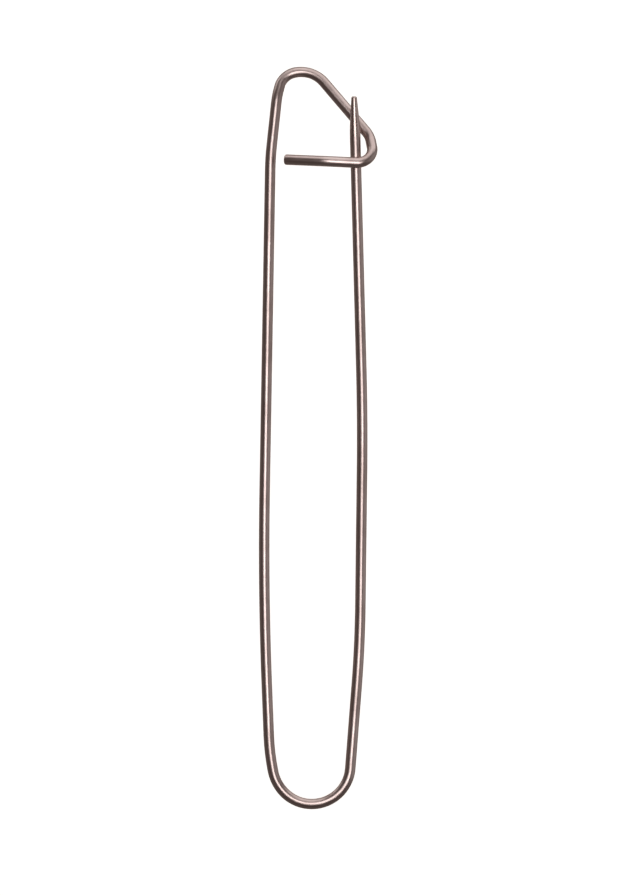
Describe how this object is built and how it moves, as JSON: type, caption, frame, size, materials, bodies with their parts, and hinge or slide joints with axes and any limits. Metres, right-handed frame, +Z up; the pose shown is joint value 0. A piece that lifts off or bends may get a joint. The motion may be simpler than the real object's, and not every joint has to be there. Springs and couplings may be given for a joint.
{
  "type": "stitch holder",
  "caption": "Closed loop of bent round metal wire with a pointed spring arm that latches under a cross bar to hold knitting stitches.",
  "frame": {"origin": "middle of the outline, on the surface that the holder lies on", "axes": "+X across the holder towards the needle arm, +Y along it towards the latching head, +Z up towards the viewer"},
  "size_m": [0.0304, 0.1906, 0.0113],
  "materials": {
    "drawn_wire": "satin drawn",
    "polished_point": "fine polished"
  },
  "bodies": {
    "holder": {"tail_bar": "drawn_wire", "bar_bend": "drawn_wire", "bar_foot": "drawn_wire", "hook_low_bend": "drawn_wire", "hook_link": "drawn_wire", "hook_high_bend": "drawn_wire", "shoulder": "drawn_wire", "crown_right_bend": "drawn_wire", "crown_left_bend": "drawn_wire", "crown_neck": "drawn_wire", "neck_bend": "drawn_wire", "back_neck": "drawn_wire", "back_top_bend": "drawn_wire", "back_arm": "drawn_wire", "back_bow": "drawn_wire", "back_foot": "drawn_wire", "base_left_bow": "drawn_wire", "base_left_bend": "drawn_wire", "base_bend": "drawn_wire", "base_foot": "drawn_wire"},
    "flex_lower": {"flex_root": "drawn_wire"},
    "flex_upper": {"flex_neck": "drawn_wire"},
    "needle": {"needle_foot": "drawn_wire", "needle_low_bow": "drawn_wire", "needle_arm": "drawn_wire", "needle_high_bow": "drawn_wire", "needle_shaft": "drawn_wire", "needle_neck": "drawn_wire", "needle_point": "polished_point"}
  },
  "joints": [
    {"name": "arm_roll", "type": "hinge", "parent": "holder", "child": "flex_lower", "pos_m": [0.0089, -0.07619, 0.00137], "axis": [-0.0774, -0.997, 0], "range_deg": [0, 188.5], "deforming": ["flex_root"]},
    {"name": "arm_flex", "type": "hinge", "parent": "flex_lower", "child": "flex_upper", "pos_m": [0.0089, -0.07619, 0.00137], "axis": [0.1392, -0.0108, 0.9902], "range_deg": [0, 21], "stiffness_Nm_per_rad": 1.5, "springref_deg": -1.15, "deforming": ["flex_neck"]},
    {"name": "arm_unroll", "type": "hinge", "parent": "flex_upper", "child": "needle", "pos_m": [0.0089, -0.07619, 0.00137], "axis": [-0.0434, -0.9972, -0.0604], "range_deg": [-188.5, 0]}
  ],
  "couplings": [
    {"joint": "arm_roll", "follows": "arm_flex", "ratio": 8.9524},
    {"joint": "arm_unroll", "follows": "arm_flex", "ratio": -8.9524}
  ]
}
